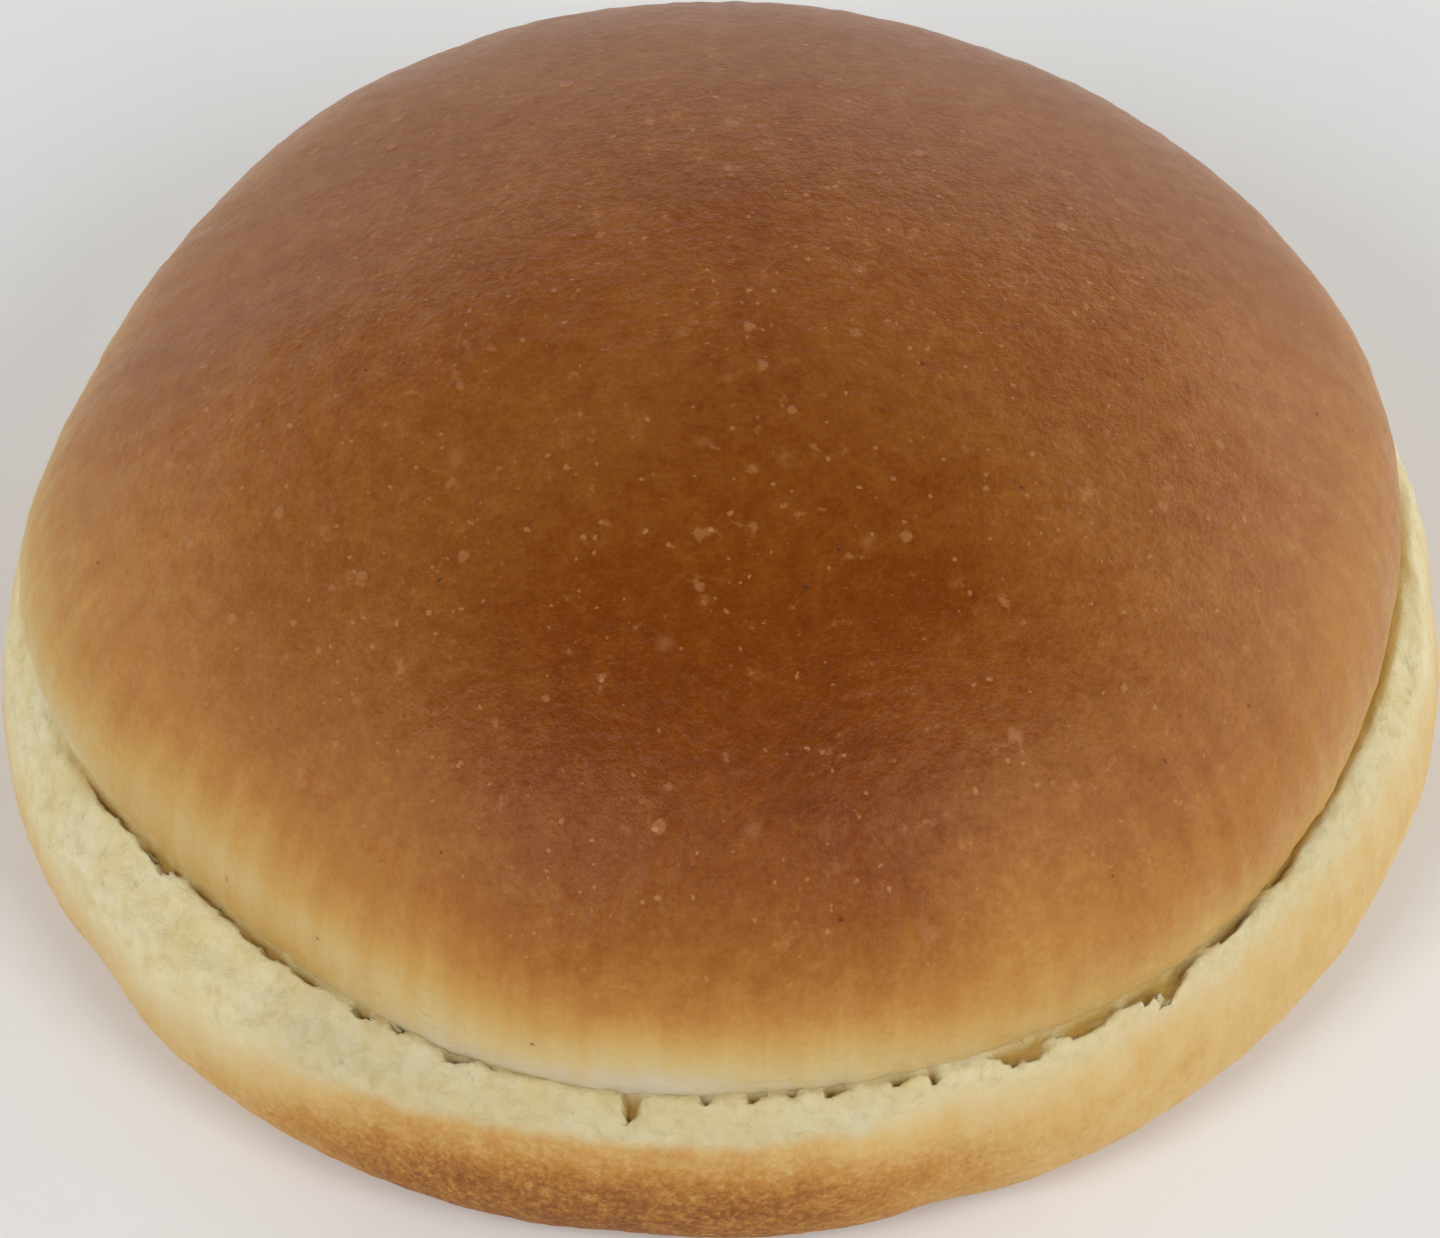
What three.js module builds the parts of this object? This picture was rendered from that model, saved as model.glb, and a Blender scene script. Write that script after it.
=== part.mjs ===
// A round glazed burger bun, sliced level. The domed crown rests on the slightly wider heel.
// Millimetres, +Z up. The origin is under the middle of the bun, on the surface that it stands on.

import * as THREE from 'three';
import { mergeVertices } from 'three/addons/utils/BufferGeometryUtils.js';

// Driving dimensions of the heel, the lower half.
const HEEL_CENTRE = { x: 0, y: -0.2 };
const HEEL_FLAT_RADIUS = 40;
const HEEL_WIDEST_RADIUS = 52.5;
const HEEL_WIDEST_HEIGHT = 8.5;
const HEEL_EDGE_FULLNESS = 2.7;
const HEEL_CUT_RADIUS = 50.4;
const CUT_HEIGHT = 17;

// Driving dimensions of the crown, the upper half.
const CROWN_OFFSET = { x: -0.2, y: -1.1 };
const CROWN_CUT_RADIUS = 48.2;
const CROWN_WIDEST_RADIUS = 48.7;
const CROWN_WIDEST_HEIGHT = 20.5;
const CROWN_TOP_HEIGHT = 47.5;
const CROWN_FULLNESS = 1.96;
const CROWN_LEAN = { x: 2.4, y: -1.2 };

// The clearance between the two cut faces.
const CUT_CLEARANCE = 0.3;

// A baked outline is never a true circle. Each wave adds so many lobes to it, so high in
// millimetres at the widest radius, with one crest at this many degrees round from +X.
const HEEL_WAVES = [
  { lobes: 2, height: 0.61, crest: 56 },
  { lobes: 3, height: 0.22, crest: -33 },
  { lobes: 4, height: 0.12, crest: -15 },
];
const CROWN_WAVES = [
  { lobes: 2, height: 0.24, crest: -58 },
  { lobes: 3, height: 0.13, crest: 59 },
  { lobes: 4, height: 0.59, crest: 10 },
  { lobes: 5, height: 0.44, crest: -31 },
  { lobes: 6, height: 0.42, crest: 10 },
];

// How finely the surfaces are divided.
const SIDES = 72;
const SIDE_STEPS = 3;
const HEEL_EDGE_STEPS = 6;
const DOME_STEPS = 14;

/** Points on a quarter of a superellipse about (radius, height), from one angle to another. */
function quarterRound(centre, reach, rise, fullness, fromDegrees, toDegrees, steps) {
  const points = [];
  for (let i = 0; i <= steps; i += 1) {
    const angle = THREE.MathUtils.degToRad(THREE.MathUtils.lerp(fromDegrees, toDegrees, i / steps));
    const across = Math.abs(Math.cos(angle)) ** (2 / fullness);
    const up = Math.sign(angle) * Math.abs(Math.sin(angle)) ** (2 / fullness);
    points.push(new THREE.Vector2(centre.x + reach * across, centre.y + rise * up));
  }
  return points;
}

/** Points on a side that leaves its widest radius upright and curves in to the cut edge. */
function curvedSide(from, to, steps) {
  const widest = from.x > to.x ? from : to;
  const bend = new THREE.Vector2(widest.x, (from.y + to.y) / 2);
  return new THREE.QuadraticBezierCurve(from, bend, to).getPoints(steps);
}

/** How much wider than a true circle the outline is at an angle round from +X. */
function waviness(waves, widestRadius, angle) {
  let factor = 1;
  for (const { lobes, height, crest } of waves) {
    factor += (height / widestRadius) * Math.cos(lobes * (angle - THREE.MathUtils.degToRad(crest)));
  }
  return factor;
}

/** Turns a profile into a closed half of the bun, then moves each vertex sideways with place. */
function turned(profile, place) {
  const lathe = new THREE.LatheGeometry(profile, SIDES);
  lathe.rotateX(Math.PI / 2);
  lathe.deleteAttribute('normal');
  lathe.deleteAttribute('uv');
  const solid = mergeVertices(lathe);
  const position = solid.getAttribute('position');
  for (let i = 0; i < position.count; i += 1) {
    const moved = place(position.getX(i), position.getY(i), position.getZ(i));
    position.setXY(i, moved.x, moved.y);
  }
  solid.computeVertexNormals();
  return solid;
}

function heelGeometry() {
  const edgeCentre = new THREE.Vector2(HEEL_FLAT_RADIUS, HEEL_WIDEST_HEIGHT);
  const edgeReach = HEEL_WIDEST_RADIUS - HEEL_FLAT_RADIUS;
  const edge = quarterRound(
    edgeCentre, edgeReach, HEEL_WIDEST_HEIGHT, HEEL_EDGE_FULLNESS, -90, 0, HEEL_EDGE_STEPS,
  );
  const widest = new THREE.Vector2(HEEL_WIDEST_RADIUS, HEEL_WIDEST_HEIGHT);
  const cutEdge = new THREE.Vector2(HEEL_CUT_RADIUS, CUT_HEIGHT);
  const side = curvedSide(widest, cutEdge, SIDE_STEPS);
  const profile = [
    new THREE.Vector2(0, 0),
    ...edge,
    ...side.slice(1),
    new THREE.Vector2(0, CUT_HEIGHT),
  ];
  return turned(profile, (x, y) => {
    const factor = waviness(HEEL_WAVES, HEEL_WIDEST_RADIUS, Math.atan2(y, x));
    return { x: HEEL_CENTRE.x + x * factor, y: HEEL_CENTRE.y + y * factor };
  });
}

function crownGeometry() {
  const cutHeight = CUT_HEIGHT + CUT_CLEARANCE;
  const cutEdge = new THREE.Vector2(CROWN_CUT_RADIUS, cutHeight);
  const widest = new THREE.Vector2(CROWN_WIDEST_RADIUS, CROWN_WIDEST_HEIGHT);
  const side = curvedSide(cutEdge, widest, SIDE_STEPS);
  const domeCentre = new THREE.Vector2(0, CROWN_WIDEST_HEIGHT);
  const domeRise = CROWN_TOP_HEIGHT - CROWN_WIDEST_HEIGHT;
  const dome = quarterRound(
    domeCentre, CROWN_WIDEST_RADIUS, domeRise, CROWN_FULLNESS, 0, 90, DOME_STEPS,
  );
  const profile = [
    new THREE.Vector2(0, cutHeight),
    ...side,
    ...dome.slice(1, -1),
    new THREE.Vector2(0, CROWN_TOP_HEIGHT),
  ];
  return turned(profile, (x, y, z) => {
    const factor = waviness(CROWN_WAVES, CROWN_WIDEST_RADIUS, Math.atan2(y, x));
    const lean = Math.max(0, (z - CROWN_WIDEST_HEIGHT) / domeRise);
    return {
      x: HEEL_CENTRE.x + CROWN_OFFSET.x + CROWN_LEAN.x * lean + x * factor,
      y: HEEL_CENTRE.y + CROWN_OFFSET.y + CROWN_LEAN.y * lean + y * factor,
    };
  });
}

const paleBakedSide = new THREE.MeshStandardMaterial({ color: '#c2a06a', roughness: 0.85, metalness: 0 });
const glazedCrust = new THREE.MeshStandardMaterial({ color: '#854b22', roughness: 0.42, metalness: 0 });

const heel = new THREE.Mesh(heelGeometry(), paleBakedSide);
heel.name = 'heel';

const crown = new THREE.Mesh(crownGeometry(), glazedCrust);
crown.name = 'crown';

const bun = new THREE.Group();
bun.add(heel, crown);

export default bun;
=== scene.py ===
"""A round glazed burger bun, sliced level, whose domed crown rests on a slightly wider heel."""

import math
import random

import bmesh
import bpy
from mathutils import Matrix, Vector, kdtree, noise


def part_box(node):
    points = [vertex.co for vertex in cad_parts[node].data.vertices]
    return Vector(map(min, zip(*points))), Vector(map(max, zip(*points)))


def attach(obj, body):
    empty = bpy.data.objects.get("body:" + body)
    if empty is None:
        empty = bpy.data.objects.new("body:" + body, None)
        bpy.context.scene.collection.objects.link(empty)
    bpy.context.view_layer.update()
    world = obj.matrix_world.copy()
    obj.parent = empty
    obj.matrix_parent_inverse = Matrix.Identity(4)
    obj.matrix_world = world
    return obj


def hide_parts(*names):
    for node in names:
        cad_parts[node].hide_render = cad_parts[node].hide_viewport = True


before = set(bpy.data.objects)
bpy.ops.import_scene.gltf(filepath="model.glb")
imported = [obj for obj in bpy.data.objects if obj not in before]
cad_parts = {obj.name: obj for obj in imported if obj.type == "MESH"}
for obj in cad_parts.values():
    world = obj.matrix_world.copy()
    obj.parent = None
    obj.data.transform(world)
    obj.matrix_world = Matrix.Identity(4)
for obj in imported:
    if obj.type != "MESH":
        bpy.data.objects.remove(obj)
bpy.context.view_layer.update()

# Shapes are worked out in millimetres and scaled to metres when a piece is finished.
MM = 0.001

# Heights that the two halves take from the frame.
HEEL_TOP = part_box("heel")[1][2] / MM
CROWN_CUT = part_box("crown")[0][2] / MM
CROWN_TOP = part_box("crown")[1][2] / MM

# The heel, the lower half.
HEEL_CENTRE = (0.0, -0.2)
HEEL_FLAT_RADIUS = 40.0
HEEL_WIDEST_RADIUS = 52.5
HEEL_WIDEST_HEIGHT = HEEL_TOP / 2
HEEL_EDGE_FULLNESS = 2.7
HEEL_CUT_RADIUS = 50.4

# The crown, the upper half.
CROWN_CENTRE = (-0.2, -1.3)
CROWN_CUT_RADIUS = 48.2
CROWN_WIDEST_RADIUS = 48.7
CROWN_WIDEST_HEIGHT = CROWN_CUT + 3.2
CROWN_FULLNESS = 1.96
CROWN_LEAN = (2.4, -1.2)

# Waves that turn each circle into a baked outline: lobes, height and the angle of a crest.
HEEL_WAVES = ((2, 0.61, 56), (3, 0.22, -33), (4, 0.12, -15))
CROWN_WAVES = ((2, 0.24, -58), (3, 0.13, 59), (4, 0.59, 10), (5, 0.44, -31), (6, 0.42, 10))

# Squares across the top and underside of each half, and rows up its side.
CROWN_SQUARES, CROWN_ROWS = 160, 64
HEEL_SQUARES, HEEL_ROWS = 150, 80

# Torn places in the heel's cut edge: the angle round from +X, how far they reach either way
# in degrees, and their depth. Between them a noise tears the edge lightly.
TEARS = (
    (-151, 4.0, 0.45),
    (-144, 3.0, 0.70),
    (-137, 3.5, 0.60),
    (-131, 3.0, 0.80),
    (-126, 1.6, 0.50),
    (-120, 0.8, 0.60),
    (-116.5, 0.5, 0.60),
    (-111, 1.1, 0.55),
    (-108, 0.5, 0.30),
    (-96.9, 0.8, 1.10),
    (-91.0, 0.4, 0.50),
    (-87.3, 0.5, 0.70),
    (-84.5, 0.4, 0.55),
    (-81.2, 0.9, 0.80),
    (-76.0, 1.0, 0.70),
    (-73.3, 0.5, 0.90),
    (-66, 2.4, 1.00),
    (-60, 2.6, 0.90),
    (-53, 3.6, 0.90),
    (-45, 3.2, 0.50),
    (-38, 2.4, 0.35),
    (-28, 3.0, 0.15),
    (-18, 3.0, 0.12),
)

# Small folds in the skin: the angle, the height, half of the length and how far they stand out.
HEEL_FOLDS = ((-111.7, 10.5, 1.7, 0.34), (-89.5, 11.4, 1.2, 0.16), (-37, 10.4, 1.5, 0.20))
CROWN_FOLDS = (
    (-73.8, 30.2, 1.7, 0.22),
    (-141.6, 29.4, 2.4, 0.16),
    (-138.5, 31.0, 1.6, 0.10),
    (-96.9, 33.7, 1.8, 0.10),
    (-101.0, 30.5, 1.6, 0.08),
)

# Places on the crown that took more heat, or less where the last number is below 0: the angle,
# the height, the reach and how much.
BROWNER = (
    (-49.9, 44.8, 2.2, 0.10),
    (-63.0, 42.4, 3.0, 0.07),
    (-82.7, 38.3, 4.0, 0.07),
    (-78.0, 32.0, 4.0, 0.07),
    (100.0, 47.2, 4.5, 0.08),
    (-50.0, 33.0, 9.0, 0.09),
    (-4.0, 38.0, 11.0, -0.08),
    (-163.0, 36.0, 9.0, -0.07),
)

# Flattened stretches of each outline: the angle, how far they reach either way, and how deep.
CROWN_FLATS = ((168, 9, 0.60), (120, 8, 0.50), (66, 10, 0.30))
HEEL_FLATS = (
    (-147, 6, 0.65),
    (-98, 5, 0.30),
    (-73, 4, 0.60),
    (-42, 8, 0.25),
    (-24, 8, 0.30),
    (1, 4, 0.40),
    (-178, 8, 0.35),
)

# Skin blisters that stand out: the angle, the height on the dome and the radius. Many smaller
# ones lie scattered between them.
BLISTERS = (
    (-146, 43.6, 0.90),
    (-70, 44.1, 0.80),
    (-89, 35.7, 0.80),
    (-101, 42.0, 0.70),
    (-100, 47.0, 0.55),
    (-73, 29.3, 0.95),
    (-82, 46.0, 0.60),
    (-96, 43.2, 0.50),
)
BLISTER_COUNT = 60
BLISTER_SEED = 11

# Where the crown's lip stands out at the left, and where the heel's upper side draws in there:
# the angle, how far it reaches either way, and how much.
CROWN_LIP_BULGE = (176, 5, 0.5)
HEEL_SIDE_HOLLOW = (171, 8, 0.8)

# The light. White screens stand all round and fade into a dark ceiling between two heights of
# direction, where 0 is level and 1 is overhead. They are brighter at both sides, most of all at
# the right, and dimmer in front.
SCREEN_LIGHT = 1.5
SCREEN_MORE_AT_RIGHT = 0.5
SCREEN_MORE_AT_SIDES = 0.8
SCREEN_LESS_IN_FRONT = 1.3
SCREEN_FADE = (0.12, 0.80)
CEILING_LIGHT = 0.11

# Two soft boxes, each with its azimuth, its elevation and its watts. Both are square and aimed at
# one point. Their width, distance and aim are in metres.
SOFT_BOXES = {"right soft box": (-52, 42, 2.1), "left soft box": (-128, 42, 2.5)}
SOFT_BOX_WIDTH = 0.32
SOFT_BOX_DISTANCE = 0.9
SOFT_BOX_AIM = (0, 0, 0.02)

# The camera, in front of the bun. All of its sizes are in millimetres.
CAMERA_LENS = 176.3
CAMERA_SENSOR = 36.0
CAMERA_TARGET = (-0.12, -9.06, 20.0)
CAMERA_AZIMUTH = -90
CAMERA_ELEVATION = 47.645
CAMERA_DISTANCE = 500.0

# The ground reaches this many metres either way.
GROUND_HALF_WIDTH = 3.0


def srgb(red, green, blue):
    """A colour given as a screen shows it, in the linear values that shaders take."""
    parts = []
    for part in (red, green, blue):
        part /= 255
        parts.append(part / 12.92 if part <= 0.04045 else ((part + 0.055) / 1.055) ** 2.4)
    return (*parts, 1.0)


# ---------------------------------------------------------------------------
# Shader building


class Value:
    """A number, vector or colour that varies over a surface. Arithmetic on it adds Math nodes."""

    def __init__(self, shader, socket):
        self.shader = shader
        self.socket = socket

    def math(self, operation, *others):
        return self.shader.add("ShaderNodeMath", {"operation": operation}, (self, *others))

    def other(self, output):
        """Another output of the node that this value comes from."""
        return Value(self.shader, self.socket.node.outputs[output])

    def __add__(self, other):
        return self.math("ADD", other)

    __radd__ = __add__

    def __mul__(self, other):
        return self.math("MULTIPLY", other)

    def __sub__(self, other):
        return self.math("SUBTRACT", other)

    def __rsub__(self, other):
        return self.shader.add("ShaderNodeMath", {"operation": "SUBTRACT"}, (other, self))

    def __gt__(self, other):
        return self.math("GREATER_THAN", other)


class Shader:
    """The nodes of one material or world."""

    def __init__(self, owner):
        owner.use_nodes = True
        self.owner = owner
        self.nodes = owner.node_tree.nodes
        self.links = owner.node_tree.links

    def add(self, kind, settings=None, inputs=(), output=0):
        """Adds a node, sets its settings, then sets or links its inputs by name or by place."""
        node = self.nodes.new(kind)
        for name, setting in (settings or {}).items():
            if name == "stops":
                set_stops(node.color_ramp, setting)
            else:
                setattr(node, name, setting)
        self.feed(node, inputs)
        return Value(self, node.outputs[output])

    def feed(self, node, inputs):
        pairs = inputs.items() if isinstance(inputs, dict) else enumerate(inputs)
        for name, value in pairs:
            if isinstance(value, Value):
                self.links.new(value.socket, node.inputs[name])
            else:
                node.inputs[name].default_value = value

    def surface(self, **inputs):
        """Sets or links the main shader's inputs, whose spaces are written as underscores."""
        main = self.nodes["Principled BSDF"]
        self.feed(main, {name.replace("_", " "): value for name, value in inputs.items()})
        return self.owner

    def place(self):
        return self.add("ShaderNodeTexCoord", output="Object")

    def painted(self, name):
        """A number stored on the piece's own vertices."""
        return self.add("ShaderNodeAttribute", {"attribute_name": name}, output="Fac")

    def vector(self, operation, first, second=(0, 0, 0)):
        return self.add("ShaderNodeVectorMath", {"operation": operation}, (first, second))

    def noise(self, place, size, detail=2.0, roughness=0.5, distortion=0.0):
        """Smooth noise from 0 to 1 whose features are about size millimetres wide."""
        inputs = {
            "Vector": place,
            "Scale": 1 / (size * MM),
            "Detail": detail,
            "Roughness": roughness,
            "Distortion": distortion,
        }
        return self.add("ShaderNodeTexNoise", {}, inputs, "Fac")

    def between(self, value, low, high):
        """0 up to low, 1 from high, and a smooth step in between."""
        inputs = {"Value": value, "From Min": low, "From Max": high}
        return self.add("ShaderNodeMapRange", {"interpolation_type": "SMOOTHSTEP"}, inputs)

    def mix(self, amount, below, above, blend="MIX"):
        """below where amount is 0 and above where it is 1, as colours."""
        settings = {"data_type": "RGBA", "blend_type": blend}
        return self.add("ShaderNodeMix", settings, {0: amount, 6: below, 7: above}, 2)

    def ramp(self, value, stops):
        return self.add("ShaderNodeValToRGB", {"stops": stops}, {"Fac": value}, "Color")

    def specks(self, place, spacing, radius, share):
        """Soft round specks of up to radius, one to a cell of spacing, in a share of the cells."""
        inputs = {"Vector": place, "Scale": 1 / (spacing * MM)}
        distance = self.add("ShaderNodeTexVoronoi", {"feature": "F1"}, inputs, "Distance")
        chance = self.add("ShaderNodeSeparateColor", {}, {"Color": distance.other("Color")})
        reach = (chance.other("Green") * 0.7 + 0.3) * (radius / spacing)
        inside = self.between(reach - distance, 0.0, 0.4 * radius / spacing)
        return inside * (chance > 1 - share)

    def shaken(self, place, size, reach):
        """A place moved about by up to about reach millimetres, to break up regular shapes."""
        cloud = self.noise(place, size).other("Color")
        return self.vector("ADD", place, self.vector("MULTIPLY", cloud, (reach * MM,) * 3))

    def relief(self, *heights):
        """A normal bent by heights in millimetres."""
        total = heights[0]
        for height in heights[1:]:
            total = total + height
        inputs = {"Height": total, "Distance": MM, "Strength": 1.0}
        return self.add("ShaderNodeBump", {}, inputs, "Normal")

    def height_of(self, place):
        """How far above the ground a place is, in metres."""
        return self.add("ShaderNodeSeparateXYZ", {}, (place,), "Z")

    def down_the_side(self, place, radius, stretch):
        """A place whose patterns are drawn out down the side of the bun."""
        flat = self.vector("MULTIPLY", place, (1, 1, 0))
        around = self.vector("MULTIPLY", self.vector("NORMALIZE", flat), (radius * MM,) * 3)
        down = self.vector("MULTIPLY", place, (0, 0, 1 / stretch))
        return self.vector("ADD", around, down)


def set_stops(ramp, stops):
    """Gives a colour ramp its (position, colour) stops."""
    while len(ramp.elements) < len(stops):
        ramp.elements.new(1.0)
    for element, (position, colour) in zip(ramp.elements, stops):
        element.position = position
        element.color = colour


# ---------------------------------------------------------------------------
# Materials

CROWN_BROWNING = (
    (0.00, srgb(200, 188, 160)),
    (0.10, srgb(201, 176, 120)),
    (0.22, srgb(192, 150, 80)),
    (0.34, srgb(174, 118, 54)),
    (0.48, srgb(155, 95, 38)),
    (0.64, srgb(138, 77, 22)),
    (0.80, srgb(122, 58, 4)),
    (1.00, srgb(98, 42, 4)),
)
HEEL_BROWNING = (
    (0.00, srgb(212, 196, 152)),
    (0.25, srgb(204, 170, 108)),
    (0.50, srgb(186, 134, 64)),
    (0.75, srgb(162, 104, 42)),
    (1.00, srgb(136, 82, 34)),
)
CRUMB_PALE = srgb(223, 212, 173)
CRUMB_WARM = srgb(219, 203, 152)
# Painted shade: a darker crumb colour for pores, holes and the hollows of the crumb's relief.
CRUMB_HOLLOW_SHADE = srgb(190, 171, 114)
# Painted shade: a darker crumb colour for the seam between the two halves.
CRUMB_IN_SEAM_SHADE = srgb(184, 148, 76)
BLISTER_SKIN = srgb(180, 124, 76)
DARK_SPECK = srgb(78, 40, 16)

# Light sinks a little way into crumb and pale crust, red farthest.
SOFT_BREAD = {
    "Subsurface_Weight": 0.3,
    "Subsurface_Radius": (1.0, 0.6, 0.25),
    "Subsurface_Scale": 0.0012,
}


def crown_crust():
    """The thin brown skin of the crown under its egg glaze."""
    shader = Shader(bpy.data.materials.new("glazed crown crust"))
    place = shader.place()
    bent = shader.shaken(place, 0.7, 0.6)
    streak_place = shader.down_the_side(place, CROWN_WIDEST_RADIUS, 9.0)
    mottle = shader.noise(place, 11.0, detail=3.0, roughness=0.55)
    blotch = shader.noise(place, 1.9, detail=4.0, roughness=0.65)
    grain = shader.noise(place, 0.45, detail=3.0, roughness=0.7)
    lower = shader.between(shader.height_of(place), 0.041, 0.030)
    streak = (shader.noise(streak_place, 1.6, detail=3.0, roughness=0.6) - 0.5) * lower
    bake = shader.painted("bake")
    brown = bake + (mottle - 0.5) * 0.15 + streak * 0.14
    unevenness = shader.between(bake, 0.15, 0.65)
    brown = brown + (blotch - 0.5) * (unevenness * 0.36 + 0.03)
    brown = brown + (grain - 0.5) * (unevenness * 0.30 + 0.04)
    colour = shader.ramp(brown, CROWN_BROWNING)
    fine_specks = shader.specks(bent, 1.1, 0.26, 0.75)
    large_specks = shader.specks(bent, 3.2, 0.62, 0.62)
    flecks = shader.between(shader.noise(bent, 2.0, detail=3.0, roughness=0.6), 0.62, 0.74)
    pale = fine_specks * 0.62 + large_specks * 0.46 + flecks * 0.44
    pale = pale + shader.painted("blister") * 0.36
    colour = shader.mix(pale * shader.between(bake, 0.1, 0.5), colour, BLISTER_SKIN)
    dots = shader.specks(bent, 3.0, 0.26, 0.4)
    colour = shader.mix(dots * 0.6, colour, DARK_SPECK)
    peel = shader.noise(place, 1.0, detail=4.0, roughness=0.65)
    height = (peel - 0.5) * 0.20 + (grain - 0.5) * 0.03 + streak * 0.06
    pale_lip = 1 - shader.between(bake, 0.0, 0.35)
    return shader.surface(
        Base_Color=colour,
        Roughness=blotch * 0.12 + grain * 0.12 + pale_lip * 0.25 + 0.21,
        Normal=shader.relief(height, fine_specks * 0.03, large_specks * 0.07, dots * -0.04),
        IOR=1.45,
        Specular_IOR_Level=0.20,
    )


def crumb_look(shader, place):
    """The colour and height of torn or cut crumb: soft, pale and cottony, with painted shade in its
    hollows and pores.
    """
    cloud = shader.noise(place, 4.0, detail=4.0, roughness=0.6)
    fluff = shader.noise(place, 1.3, detail=5.0, roughness=0.65, distortion=0.4)
    pores = shader.specks(shader.shaken(place, 0.9, 0.9), 1.9, 0.34, 0.45)
    colour = shader.mix(shader.between(cloud, 0.35, 0.7), CRUMB_PALE, CRUMB_WARM)
    # Painted shade: the hollows of the fluff relief and the sunken pores are painted darker.
    colour = shader.mix(shader.between(fluff, 0.58, 0.30) * 0.4, colour, CRUMB_HOLLOW_SHADE)
    colour = shader.mix(pores * 0.45, colour, CRUMB_HOLLOW_SHADE)
    height = (fluff - 0.5) * 0.42 - pores * 0.10
    return colour, height


def heel_crust():
    """The heel all round: dry golden skin low down, torn pale crumb above it and on the cut."""
    shader = Shader(bpy.data.materials.new("heel crust and torn crumb"))
    place = shader.place()
    streak_place = shader.down_the_side(place, HEEL_WIDEST_RADIUS, 6.0)
    crumb_colour, crumb_height = crumb_look(shader, place)
    blotch = shader.noise(place, 2.6, detail=4.0, roughness=0.65)
    grain = shader.noise(place, 0.55, detail=4.0, roughness=0.7)
    streak = shader.noise(streak_place, 1.4, detail=3.0, roughness=0.6)
    bake = shader.painted("bake")
    rough_skin = bake * bake
    brown = bake + (blotch - 0.5) * (rough_skin * 0.9 + 0.22) + (streak - 0.5) * 0.18
    brown = brown + (grain - 0.5) * (rough_skin * 2.8 + 0.04)
    skin = shader.ramp(brown, HEEL_BROWNING)
    crumb = shader.painted("crumb")
    # The crumb darkens where the skin below is browner: at the front, and at the front right, where
    # this is painted shade.
    toast_and_shade = shader.between(bake, 0.09, 0.2) * 0.55
    crumb_colour = shader.mix(toast_and_shade, crumb_colour, (0.76, 0.73, 0.70, 1.0), "MULTIPLY")
    colour = shader.mix(crumb, skin, crumb_colour)
    # Painted shade in the seam under the crown.
    colour = shader.mix(shader.painted("pit"), colour, CRUMB_IN_SEAM_SHADE)
    dots = shader.specks(shader.shaken(place, 0.7, 0.6), 3.6, 0.22, 0.5)
    colour = shader.mix(dots * 0.55, colour, DARK_SPECK)
    skin_height = (grain - 0.5) * (rough_skin * 0.6 + 0.03) + (streak - 0.5) * 0.06
    height = skin_height * (1 - crumb) + crumb_height * crumb
    return shader.surface(
        Base_Color=colour,
        Roughness=0.62 + crumb * 0.28 + (grain - 0.5) * 0.1,
        Normal=shader.relief(height),
        IOR=1.4,
        Specular_IOR_Level=0.35,
        **SOFT_BREAD,
    )


def cut_crumb():
    """The soft open crumb of a cut face."""
    shader = Shader(bpy.data.materials.new("cut crumb"))
    place = shader.place()
    colour, height = crumb_look(shader, place)
    holes = shader.specks(place, 3.0, 1.0, 0.5)
    # Painted shade in the sunken holes.
    colour = shader.mix(holes * 0.5, colour, CRUMB_HOLLOW_SHADE)
    # Painted shade at the edge of the cut face, in the seam over the heel.
    colour = shader.mix(shader.painted("pit"), colour, CRUMB_IN_SEAM_SHADE)
    return shader.surface(
        Base_Color=colour,
        Roughness=0.92 - holes * 0.04,
        Normal=shader.relief(height, holes * -0.25),
        IOR=1.35,
        Specular_IOR_Level=0.3,
        **SOFT_BREAD,
    )


def paper_floor():
    """A matt white ground with a faint fibre."""
    shader = Shader(bpy.data.materials.new("white ground"))
    fibre = shader.noise(shader.place(), 4.0, detail=4.0, roughness=0.6)
    return shader.surface(
        Base_Color=shader.mix(fibre, srgb(246, 246, 246), srgb(249, 249, 249)),
        Roughness=0.9,
        Specular_IOR_Level=0.2,
    )


# ---------------------------------------------------------------------------
# Shape helpers


def bell(angle, centre, reach, steepness=2):
    """1 at centre, falling to about a third at reach degrees either side of it."""
    away = abs((angle - centre + 180) % 360 - 180)
    return math.exp(-((away / reach) ** steepness))


def step(value, low, high):
    """0 up to low, 1 from high, and a smooth step in between."""
    part = min(1.0, max(0.0, (value - low) / (high - low)))
    return part * part * (3 - 2 * part)


def rough(place, size, octaves=1):
    """Noise from about -1 to 1 whose features are about size wide."""
    if octaves == 1:
        return noise.noise(place / size)
    return noise.fractal(place / size, 1.0, 2.0, octaves)


def wavy(waves, widest, angle):
    """How much wider than a true circle the outline is at an angle."""
    return 1 + sum(
        height / widest * math.cos(math.radians(lobes * (angle - crest)))
        for lobes, height, crest in waves
    )


def flatness(flats, angle):
    """How far flattened stretches pull an outline in at an angle, in millimetres."""
    return sum(depth * bell(angle, centre, reach) for centre, reach, depth in flats)


def folds_height(folds, angle, height, radius):
    """How far small upright folds, each a ridge beside a crease, move the skin."""
    total = 0.0
    for centre, middle, half, rise in folds:
        up = (height - middle) / half
        if abs(up) < 1.6:
            across = math.radians(angle - centre) * radius - 0.35 * up * up
            ridge = math.exp(-(((across + 0.45) / 0.5) ** 2))
            crease = math.exp(-(((across - 0.3) / 0.4) ** 2))
            total += rise * (ridge - crease) * math.exp(-(up**4))
    return total


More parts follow.
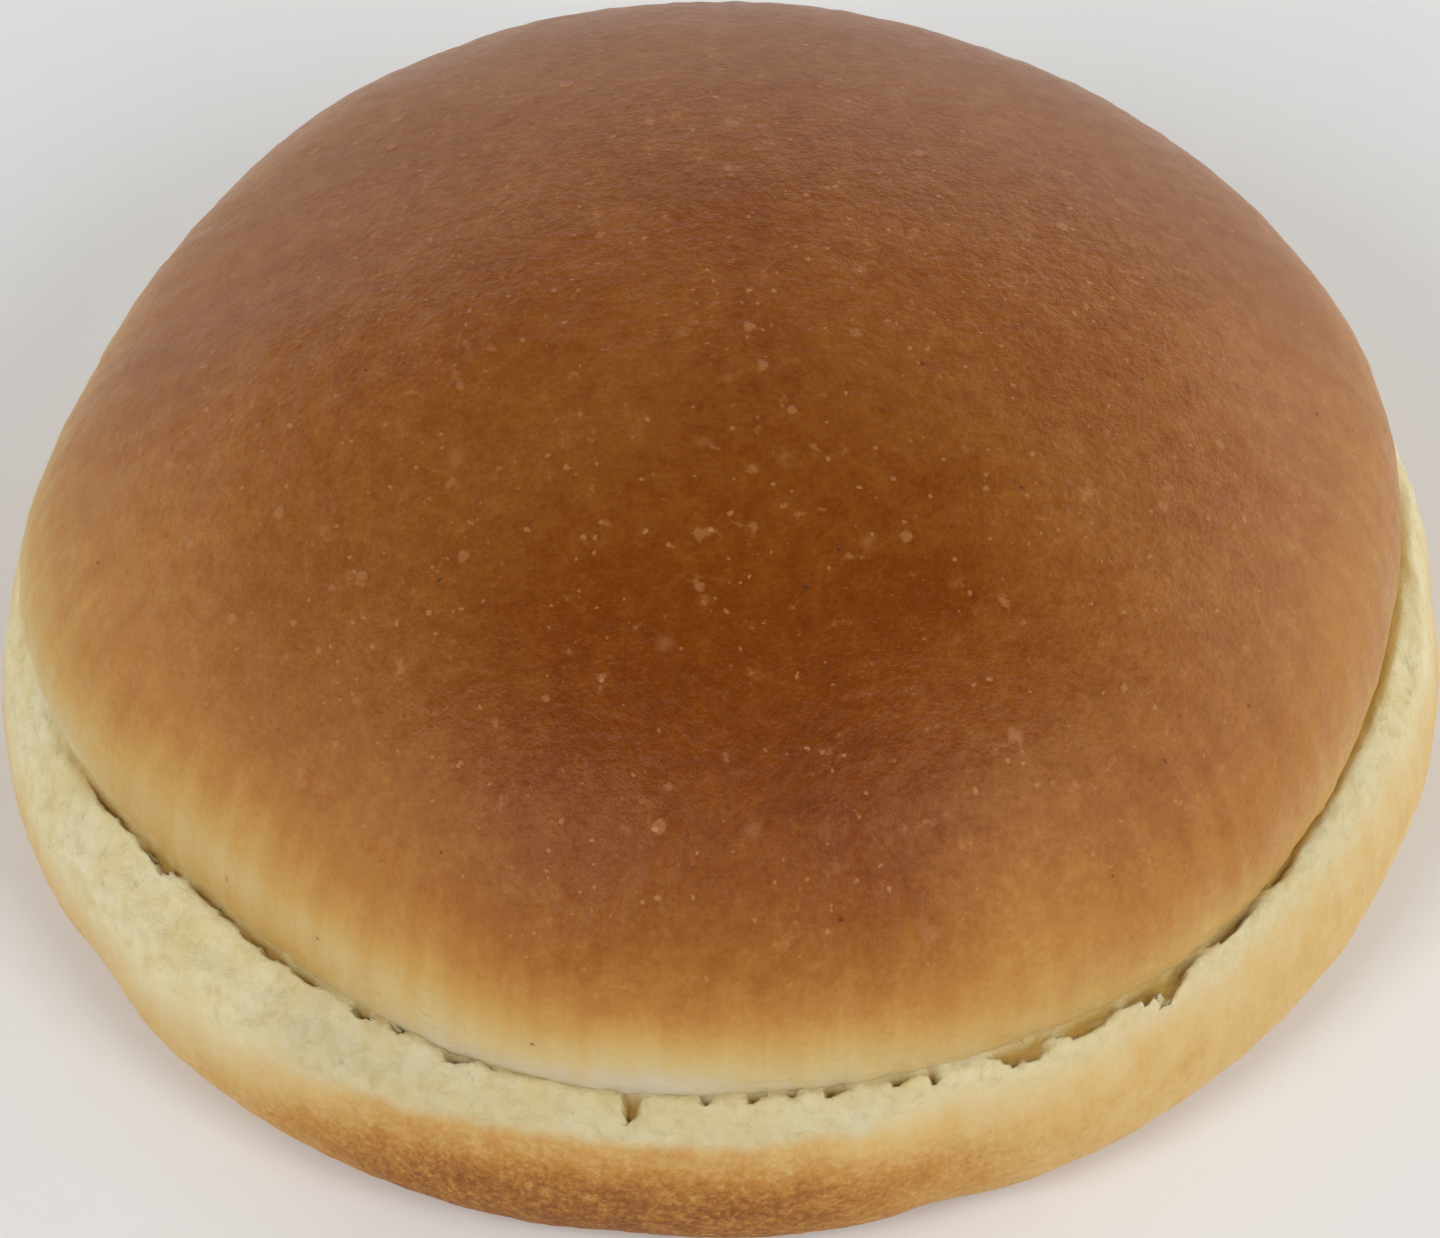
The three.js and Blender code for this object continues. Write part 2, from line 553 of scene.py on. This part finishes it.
def quarter_round(centre, reach, rise, fullness, start, end, steps=120):
    """Points on a quarter of a superellipse about (radius, height) from angle start to end."""
    points = []
    for i in range(steps + 1):
        angle = math.radians(start + (end - start) * i / steps)
        across = abs(math.cos(angle)) ** (2 / fullness)
        up = math.copysign(abs(math.sin(angle)) ** (2 / fullness), math.sin(angle))
        points.append((centre[0] + reach * across, centre[1] + rise * up))
    return points


def curved_side(start, end, steps=30):
    """Points on a side that is upright at its widest radius and curves in to the cut edge."""
    bend = (max(start[0], end[0]), (start[1] + end[1]) / 2)
    points = []
    for i in range(steps + 1):
        t = i / steps
        points.append(
            tuple(
                (1 - t) ** 2 * a + 2 * t * (1 - t) * b + t * t * c
                for a, b, c in zip(start, bend, end)
            )
        )
    return points


def graded(start, end, steps, growth):
    """Distances from start to end whose gaps grow evenly, the last growth times the first."""
    gaps = [growth ** (i / (steps - 1)) for i in range(steps)]
    unit = (end - start) / sum(gaps)
    places = [start]
    for gap in gaps:
        places.append(places[-1] + gap * unit)
    return places


class Outline:
    """Half of a section through a piece, from the axis round its outside to the axis again."""

    def __init__(self, points):
        self.points = points
        self.distances = [0.0]
        for a, b in zip(points, points[1:]):
            self.distances.append(self.distances[-1] + math.dist(a, b))
        self.length = self.distances[-1]

    def at(self, distance):
        """The point that far along the outline."""
        for i in range(1, len(self.points)):
            if distance <= self.distances[i] or i == len(self.points) - 1:
                gap = self.distances[i] - self.distances[i - 1] or 1.0
                t = min(1.0, (distance - self.distances[i - 1]) / gap)
                a, b = self.points[i - 1], self.points[i]
                return tuple(p + (q - p) * t for p, q in zip(a, b))


def round_square(u, w):
    """The angle in degrees and the share of the radius that a point of a square takes on a disc."""
    reach = max(abs(u), abs(w))
    if reach < 1e-6:
        return 0.0, 0.0
    if abs(u) >= abs(w):
        angle = 45 * w / u + (0 if u > 0 else 180)
    else:
        angle = 90 - 45 * u / w + (0 if w > 0 else 180)
    return (angle + 180) % 360 - 180, reach


def moulded_block(squares, rows, outline, stations, place):
    """A closed block divided into squares, moulded to an outline turned about the axis.

    stations are distances along the outline: half of squares over the top, rows down the side
    and half of squares across the underside. Returns the bmesh, and for each vertex its angle
    and its distance along the outline.
    """
    bm = bmesh.new()
    bmesh.ops.create_cube(bm, size=2)
    uprights = [e for e in bm.edges if abs(e.verts[0].co.z - e.verts[1].co.z) > 1]
    bmesh.ops.subdivide_edges(bm, edges=uprights, cuts=rows - 1, use_grid_fill=True)
    level = [e for e in bm.edges if abs(e.verts[0].co.z - e.verts[1].co.z) < 1e-6]
    bmesh.ops.subdivide_edges(bm, edges=level, cuts=squares - 1, use_grid_fill=True)
    half = squares // 2
    section = [outline.at(distance) for distance in stations]
    spots = []
    for vert in bm.verts:
        u, w, up = vert.co
        angle, reach = round_square(u, w)
        if up > 1 - 1e-6:
            station = round(reach * half)
        elif up < -1 + 1e-6:
            station = round(half + rows + (1 - reach) * half)
        else:
            station = round(half + (1 - up) / 2 * rows)
        radius, height = section[station]
        vert.co = place(angle, radius, height)
        spots.append((angle, stations[station]))
    bmesh.ops.recalc_face_normals(bm, faces=bm.faces)
    bm.normal_update()
    return bm, spots


def raise_relief(bm, spots, height_at):
    """Moves every vertex along its normal by height_at(place, angle, distance)."""
    moves = [
        vert.normal * height_at(vert.co, angle, distance)
        for vert, (angle, distance) in zip(bm.verts, spots)
    ]
    for vert, move in zip(bm.verts, moves):
        vert.co += move
    bm.normal_update()


def paint(bm, spots, name, value_at):
    """Stores value_at(place, angle, distance) on every vertex."""
    layer = bm.verts.layers.float.new(name)
    for vert, (angle, distance) in zip(bm.verts, spots):
        vert[layer] = value_at(vert.co, angle, distance)


def finished_piece(bm, name, materials):
    """Scales a piece to metres and makes it a smooth object with its materials."""
    bmesh.ops.scale(bm, vec=(MM, MM, MM), verts=bm.verts)
    for face in bm.faces:
        face.smooth = True
    mesh = bpy.data.meshes.new(name)
    bm.to_mesh(mesh)
    bm.free()
    for material in materials:
        mesh.materials.append(material)
    piece = bpy.data.objects.new(name, mesh)
    bpy.context.scene.collection.objects.link(piece)
    return piece


# ---------------------------------------------------------------------------
# The crown


def crown_place(angle, radius, height):
    """Where a point of the crown's section lies, with its flats, lip bulge, waves and lean."""
    above_lip = step(height, CROWN_CUT, CROWN_WIDEST_HEIGHT + 1)
    outer = step(radius, 10, 40)
    radius -= flatness(CROWN_FLATS, angle) * above_lip * outer
    centre, reach, bulge = CROWN_LIP_BULGE
    radius += bulge * bell(angle, centre, reach) * (1 - above_lip) * outer
    radius *= wavy(CROWN_WAVES, CROWN_WIDEST_RADIUS, angle)
    lean = max(0.0, (height - CROWN_WIDEST_HEIGHT) / (CROWN_TOP - CROWN_WIDEST_HEIGHT))
    x = CROWN_CENTRE[0] + CROWN_LEAN[0] * lean + radius * math.cos(math.radians(angle))
    y = CROWN_CENTRE[1] + CROWN_LEAN[1] * lean + radius * math.sin(math.radians(angle))
    return Vector((x, y, height))


def torn_depth(angle):
    """How deeply the cut edge is torn at an angle, in millimetres."""
    around = Vector((math.cos(math.radians(angle)), math.sin(math.radians(angle)), 0))
    light = max(0.0, 0.1 + 0.5 * rough(around * 50, 4.0) + 0.35 * rough(around * 50, 1.3))
    tears = [depth * bell(angle, centre, reach, 3) for centre, reach, depth in TEARS]
    return max(light * 0.35, *tears)


def crown_bake(place, angle, distance):
    """How brown the crown is: pale at the lip, browning up the side, soonest at the front."""
    front = bell(angle, -90, 23 + 14 * step(place.z, 32, 40), 4)
    rise = max(0.0, place.z - CROWN_CUT)
    front_bake = (0.82 - 0.12 * step(place.z, 41, 47)) * (1 - math.exp(-((rise / 11.4) ** 1.9)))
    side_bake = 0.70 * (1 - math.exp(-((rise / 15) ** 1.3)))
    golden_rim = 0.19 * bell(angle, -28, 52, 4) * (1 - step(rise, 1, 14))
    golden_rim += 0.17 * bell(angle, -136, 21, 4) * (1 - step(rise, 1, 6))
    bake = front * front_bake + (1 - front) * side_bake + golden_rim
    for centre, reach, amount in browner_places:
        bake += amount * math.exp(-((math.dist(place, centre) / reach) ** 2))
    return bake + 0.04 * rough(place, 14)


def make_crown():
    dome = quarter_round(
        (0, CROWN_WIDEST_HEIGHT), CROWN_WIDEST_RADIUS, CROWN_TOP - CROWN_WIDEST_HEIGHT,
        CROWN_FULLNESS, 90, 0,
    )
    side = curved_side(dome[-1], (CROWN_CUT_RADIUS, CROWN_CUT))
    outline = Outline(dome + side[1:] + [(0, CROWN_CUT)])
    rim = outline.length - CROWN_CUT_RADIUS
    half = CROWN_SQUARES // 2
    shoulder = rim * 0.68
    stations = graded(0, shoulder, half, 1.0)
    stations += graded(shoulder, rim, CROWN_ROWS, 0.6)[1:]
    stations += graded(rim, outline.length, half, 3.0)[1:]
    bm, spots = moulded_block(CROWN_SQUARES, CROWN_ROWS, outline, stations, crown_place)

    def relief(place, angle, distance):
        around = Vector((math.cos(math.radians(angle)), math.sin(math.radians(angle)), 0)) * 48
        if distance > rim + 1e-6:
            inside = step(distance, rim, rim + 2)
            return inside * (0.04 * rough(place, 1.6, 3) + 0.05 * rough(place, 6))
        broad = 0.22 * rough(place, 19) + 0.08 * rough(place, 7)
        low = step(distance, rim * 0.45, rim * 0.8)
        wrinkles = 0.10 * rough(around + Vector((0, 0, place.z * 0.14)), 1.9, 3) * low
        wrinkles += 0.07 * rough(Vector((place.x, place.y * 0.5, place.z)), 2.6, 2) * ripple(angle)
        peel = 0.03 * rough(place, 1.6, 2)
        at_rim = step(distance, rim - 2.5, rim)
        ragged = at_rim * (0.12 * rough(around, 1.1, 2) + 0.12 * rough(around, 4))
        folds = folds_height(CROWN_FOLDS, angle, place.z, CROWN_WIDEST_RADIUS)
        return broad * (1 - 0.6 * at_rim) + wrinkles + peel + ragged + folds

    raise_relief(bm, spots, relief)
    raise_blisters(bm, spots, rim)
    paint(bm, spots, "bake", crown_bake)
    # Painted shade: the cut face's outer edge, which lies in the seam over the heel, gets a darker
    # crumb colour.
    paint(bm, spots, "pit", lambda place, angle, distance: 1 - step(distance, rim + 1, rim + 4))
    crown_edges(bm, spots, rim)
    return finished_piece(bm, "crown_half", (crown_crust(), cut_crumb()))


def ripple(angle):
    """How rippled the crown's skin is at an angle: most at the left."""
    return 0.35 + 1.45 * bell(angle, -162, 28, 4)


def dome_point(angle, height):
    """The point of the dome at an angle and a height."""
    up = (height - CROWN_WIDEST_HEIGHT) / (CROWN_TOP - CROWN_WIDEST_HEIGHT)
    share = max(0.0, 1 - up**CROWN_FULLNESS) ** (1 / CROWN_FULLNESS)
    return crown_place(angle, CROWN_WIDEST_RADIUS * share, height)


browner_places = [
    (dome_point(angle, height), reach, amount) for angle, height, reach, amount in BROWNER
]


def raise_blisters(bm, spots, rim):
    """Small skin blisters scattered over the dome, each stored so that it can be paler."""
    layer = bm.verts.layers.float.new("blister")
    bm.verts.ensure_lookup_table()
    tree = kdtree.KDTree(len(bm.verts))
    skin = [i for i, (_, distance) in enumerate(spots) if distance < rim - 4]
    for i in skin:
        tree.insert(bm.verts[i].co, i)
    tree.balance()
    chance = random.Random(BLISTER_SEED)
    blisters = [(dome_point(angle, height), reach, 1.0) for angle, height, reach in BLISTERS]
    for _ in range(BLISTER_COUNT):
        centre = bm.verts[chance.choice(skin)].co.copy()
        blisters.append((centre, chance.uniform(0.45, 0.8), chance.uniform(0.3, 0.9)))
    for centre, reach, strength in blisters:
        centre = tree.find(centre)[0]
        for place, i, away in tree.find_range(centre, reach * 1.3):
            away *= 1 + 0.35 * rough(place, 0.8)
            swell = max(0.0, 1 - (away / reach) ** 2) ** 1.5 * strength
            bm.verts[i].co += bm.verts[i].normal * swell * 0.08 * reach
            bm.verts[i][layer] = max(bm.verts[i][layer], swell)


def crown_edges(bm, spots, rim):
    """Gives the cut face its own material and a crisp edge."""
    bm.verts.index_update()
    for face in bm.faces:
        if min(spots[vert.index][1] for vert in face.verts) > rim - 1e-6:
            face.material_index = 1
    for edge in bm.edges:
        if len({face.material_index for face in edge.link_faces}) > 1:
            edge.smooth = False


# ---------------------------------------------------------------------------
# The heel


def heel_place(angle, radius, height):
    """Where a point of the heel's section lies, with its worn corner, flats, hollow and waves."""
    radius, height = worn_corner(radius, height, corner_reach(angle))
    upper = step(height, HEEL_WIDEST_HEIGHT, HEEL_TOP)
    centre, reach, hollow = HEEL_SIDE_HOLLOW
    drawn_in = flatness(HEEL_FLATS, angle) + hollow * bell(angle, centre, reach) * upper
    radius -= drawn_in * step(radius, 20, 45)
    radius *= wavy(HEEL_WAVES, HEEL_WIDEST_RADIUS, angle)
    x = HEEL_CENTRE[0] + radius * math.cos(math.radians(angle))
    y = HEEL_CENTRE[1] + radius * math.sin(math.radians(angle))
    return Vector((x, y, height))


def corner_reach(angle):
    """How far from the heel's cut corner its rounding reaches: soft at the left, crisp right."""
    return 2.2 + 3.2 * bell(angle, -140, 34, 4) - 1.3 * bell(angle, 3, 7, 4)


def worn_corner(radius, height, reach):
    """Moves a point near the heel's cut corner in and down, which rounds the corner."""
    away = max(0.0, HEEL_CUT_RADIUS - radius) + HEEL_TOP - height
    shift = 0.25 * reach * max(0.0, 1 - away / reach) ** 2
    return radius - shift, height - shift


def skin_top(place, angle):
    """The height at which the heel's baked skin ends and torn crumb begins."""
    height = 14.0 - 4.0 * bell(angle, -150, 25) + 1.2 * bell(angle, -40, 30)
    around = Vector((place.x, place.y, 0))
    return height + 0.6 * rough(around, 5) + 0.35 * rough(around, 1.6)


def heel_crumb(place, angle, distance, rim):
    """1 where the heel is torn or cut crumb, 0 where it is baked skin."""
    if distance <= rim:
        return 1.0
    crisp = bell(angle, -100, 30, 4)
    soft = 1.3 + 2.7 * (1 - crisp)
    return step(place.z, skin_top(place, angle) - soft * 0.5, skin_top(place, angle) + soft * 0.5)


def heel_bake_and_shade(place, angle, distance):
    """How brown the heel's skin is: most at the front and round the base, with painted shade at the
    front right.
    """
    front = bell(angle, -101, 23, 4)
    low = step(skin_top(place, angle) - place.z, 0, 6)
    under = step(2.6 - place.z, 0, 2.4)
    # Painted shade: the front right is made browner, as if less light reached it from the right
    # soft box.
    side = 0.36 * front + 0.10 * (1 - front) + 0.08 * bell(angle, -46, 27, 4) * (1 - front)
    side += low * (0.20 + 0.24 * bell(angle, -97, 27, 4) - 0.13 * bell(angle, -38, 28, 4))
    return side + (0.85 - side) * under * 0.8


def make_heel():
    top = [(0, HEEL_TOP), (HEEL_CUT_RADIUS, HEEL_TOP)]
    side = curved_side(top[1], (HEEL_WIDEST_RADIUS, HEEL_WIDEST_HEIGHT))
    edge = quarter_round(
        (HEEL_FLAT_RADIUS, HEEL_WIDEST_HEIGHT), HEEL_WIDEST_RADIUS - HEEL_FLAT_RADIUS,
        HEEL_WIDEST_HEIGHT, HEEL_EDGE_FULLNESS, 0, -90,
    )
    outline = Outline(top + side[1:] + edge[1:] + [(0, 0)])
    rim = HEEL_CUT_RADIUS
    foot = outline.length - HEEL_FLAT_RADIUS
    half = HEEL_SQUARES // 2
    stations = graded(0, rim, half, 0.16)
    stations += graded(rim, foot, HEEL_ROWS, 1.25)[1:]
    stations += graded(foot, outline.length, half, 1.6)[1:]
    bm, spots = moulded_block(HEEL_SQUARES, HEEL_ROWS, outline, stations, heel_place)
    depths = {angle: torn_depth(angle) for angle in {angle for angle, _ in spots}}

    def outside_crown(place, angle):
        """How far outside the rim of the crown's cut face a place lies."""
        crown_rim = crown_place(angle, CROWN_CUT_RADIUS, CROWN_CUT)
        return math.hypot(place.x, place.y) - math.hypot(crown_rim.x, crown_rim.y)

    def edge_shift(place, angle):
        """How far the torn crumb beside the crown's rim stands up against it, less its pits."""
        near_edge = step(place.z, HEEL_TOP - 3.0, HEEL_TOP - 1.2)
        outside = outside_crown(place, angle)
        closed = 0.45 + 0.55 * bell(angle, -98, 27, 4) + 0.48 * bell(angle, -26, 30, 4)
        stand = 0.42 * closed - 0.14 + 0.2 * rough(place, 1.0, 2)
        gap = CROWN_CUT - 0.03 + stand * step(outside, -0.4, 0.0) - place.z
        share = closed + (1 - closed) * (1 - step(outside, -0.3, 0.1))
        close = share * step(outside, -1.4, -0.6) * (1 - step(outside, 0.3, 2.4))
        depth = depths[angle]
        reach = max(0.1, 0.2 + 0.7 * depth + (0.15 + 0.5 * depth) * rough(place, 1.0, 3))
        torn = step(outside, -0.3, 0.1) * (1 - step(outside, reach * 0.5, reach * 1.3))
        raised = max(0.0, gap) * close * (1 - step(depth * torn, 0.15, 0.5))
        sunken = (0.5 + 0.3 * rough(place, 0.9, 2)) * depth * torn
        return near_edge * (raised - sunken)

    def relief(place, angle, distance):
        crumb = heel_crumb(place, angle, distance, rim)
        if distance > foot - 1e-6:
            return 0.0
        base_fade = step(place.z, 0.0, 1.5)
        broad = 0.16 * rough(place, 13) + 0.08 * rough(place, 5)
        around = Vector((place.x, place.y, place.z * 0.2))
        skin = 0.05 * rough(around, 1.8, 2) + 0.06 * rough(place, 1.1, 2) - 0.04
        fluff = 0.22 * rough(place, 2.2, 3) + 0.14 * rough(place, 0.9, 2)
        folds = folds_height(HEEL_FOLDS, angle, place.z, HEEL_WIDEST_RADIUS)
        side = base_fade * (broad + folds + skin * (1 - crumb) + fluff * crumb - 0.05 * crumb)
        inner = 1 - step(distance, rim - 3.0, rim)
        return side * (1 - inner) + (0.3 * fluff - 0.06) * inner

    raise_relief(bm, spots, relief)

    # Painted shade: the seam under the crown's rim gets a darker crumb colour in the sunken tears,
    # along the rim, and on the ledges at the right and the left.
    seam_shade_layer = bm.verts.layers.float.new("pit")
    for vert, (angle, distance) in zip(bm.verts, spots):
        shift = edge_shift(vert.co, angle)
        outside = outside_crown(vert.co, angle)
        vert.co.z += shift
        on_top = step(distance, rim - 8, rim - 6) * (1 - step(distance, rim - 0.5, rim + 1.0))
        rim_shade = 0.35 + 0.65 * bell(angle, -28, 34, 4) + 0.35 * bell(angle, -148, 20, 4)
        rim_shade_reach = 0.1 + 0.7 * bell(angle, -2, 20, 4) + 0.7 * bell(angle, -162, 10, 4)
        rim_shade *= 1 - step(outside, rim_shade_reach, rim_shade_reach + 0.5)
        ledge_shade = max(0.9 * bell(angle, 1, 6) + 0.4 * bell(angle, -160, 7), rim_shade)
        vert[seam_shade_layer] = min(1.0, max(0.0, -2.0 * shift) + ledge_shade * on_top)
    bm.normal_update()
    paint(bm, spots, "bake", heel_bake_and_shade)
    paint(bm, spots, "crumb", lambda *spot: heel_crumb(*spot, rim))
    return finished_piece(bm, "heel_half", (heel_crust(),))


# ---------------------------------------------------------------------------
# Ground, light and camera


def add_ground():
    bm = bmesh.new()
    bmesh.ops.create_grid(bm, x_segments=8, y_segments=8, size=GROUND_HALF_WIDTH)
    mesh = bpy.data.meshes.new("ground")
    bm.to_mesh(mesh)
    bm.free()
    mesh.materials.append(paper_floor())
    ground = bpy.data.objects.new("ground", mesh)
    bpy.context.scene.collection.objects.link(ground)


def round_the_bun(azimuth, elevation, distance, centre):
    """A point at a distance from centre, with azimuth counted from +X."""
    azimuth, elevation = math.radians(azimuth), math.radians(elevation)
    flat = math.cos(elevation)
    away = Vector((flat * math.cos(azimuth), flat * math.sin(azimuth), math.sin(elevation)))
    return centre + away * distance


def add_soft_box(name, azimuth, elevation, power):
    lamp = bpy.data.lights.new(name, "AREA")
    lamp.shape = "RECTANGLE"
    lamp.size = lamp.size_y = SOFT_BOX_WIDTH
    lamp.energy = power
    centre = Vector(SOFT_BOX_AIM)
    box = bpy.data.objects.new(name, lamp)
    box.location = round_the_bun(azimuth, elevation, SOFT_BOX_DISTANCE, centre)
    box.rotation_euler = (centre - box.location).to_track_quat("-Z", "Y").to_euler()
    bpy.context.scene.collection.objects.link(box)


def add_surroundings():
    """White screens low down all round, brightest at the right and dimmest in front."""
    world = bpy.data.worlds.new("white screens")
    bpy.context.scene.world = world
    shader = Shader(world)
    direction = shader.add("ShaderNodeTexCoord", output="Generated")
    across = shader.add("ShaderNodeSeparateXYZ", {}, (direction,), "X")
    in_front = across.other("Y").math("MINIMUM", 0.0)
    screens = 1 - shader.between(across.other("Z"), *SCREEN_FADE)
    at_right = across * SCREEN_MORE_AT_RIGHT
    at_sides = across.math("ABSOLUTE") * SCREEN_MORE_AT_SIDES
    brightness = at_right + at_sides + in_front * SCREEN_LESS_IN_FRONT + SCREEN_LIGHT
    strength = screens * brightness + CEILING_LIGHT
    shader.feed(shader.nodes["Background"], {"Color": (1, 1, 1, 1), "Strength": strength})


def add_camera():
    camera = bpy.data.cameras.new("camera")
    camera.sensor_fit = "HORIZONTAL"
    camera.sensor_width = CAMERA_SENSOR
    camera.lens = CAMERA_LENS
    camera.clip_start = 0.01
    holder = bpy.data.objects.new("camera", camera)
    target = Vector(CAMERA_TARGET) * MM
    distance = CAMERA_DISTANCE * MM
    holder.location = round_the_bun(CAMERA_AZIMUTH, CAMERA_ELEVATION, distance, target)
    holder.rotation_euler = (math.radians(90 - CAMERA_ELEVATION), 0, 0)
    bpy.context.scene.collection.objects.link(holder)
    bpy.context.scene.camera = holder


crown = make_crown()
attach(crown, "root")
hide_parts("crown")

heel = make_heel()
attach(heel, "root")
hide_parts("heel")

add_ground()
add_surroundings()
for box_name, box_settings in SOFT_BOXES.items():
    add_soft_box(box_name, *box_settings)
add_camera()
bpy.context.scene.view_settings.view_transform = "Standard"
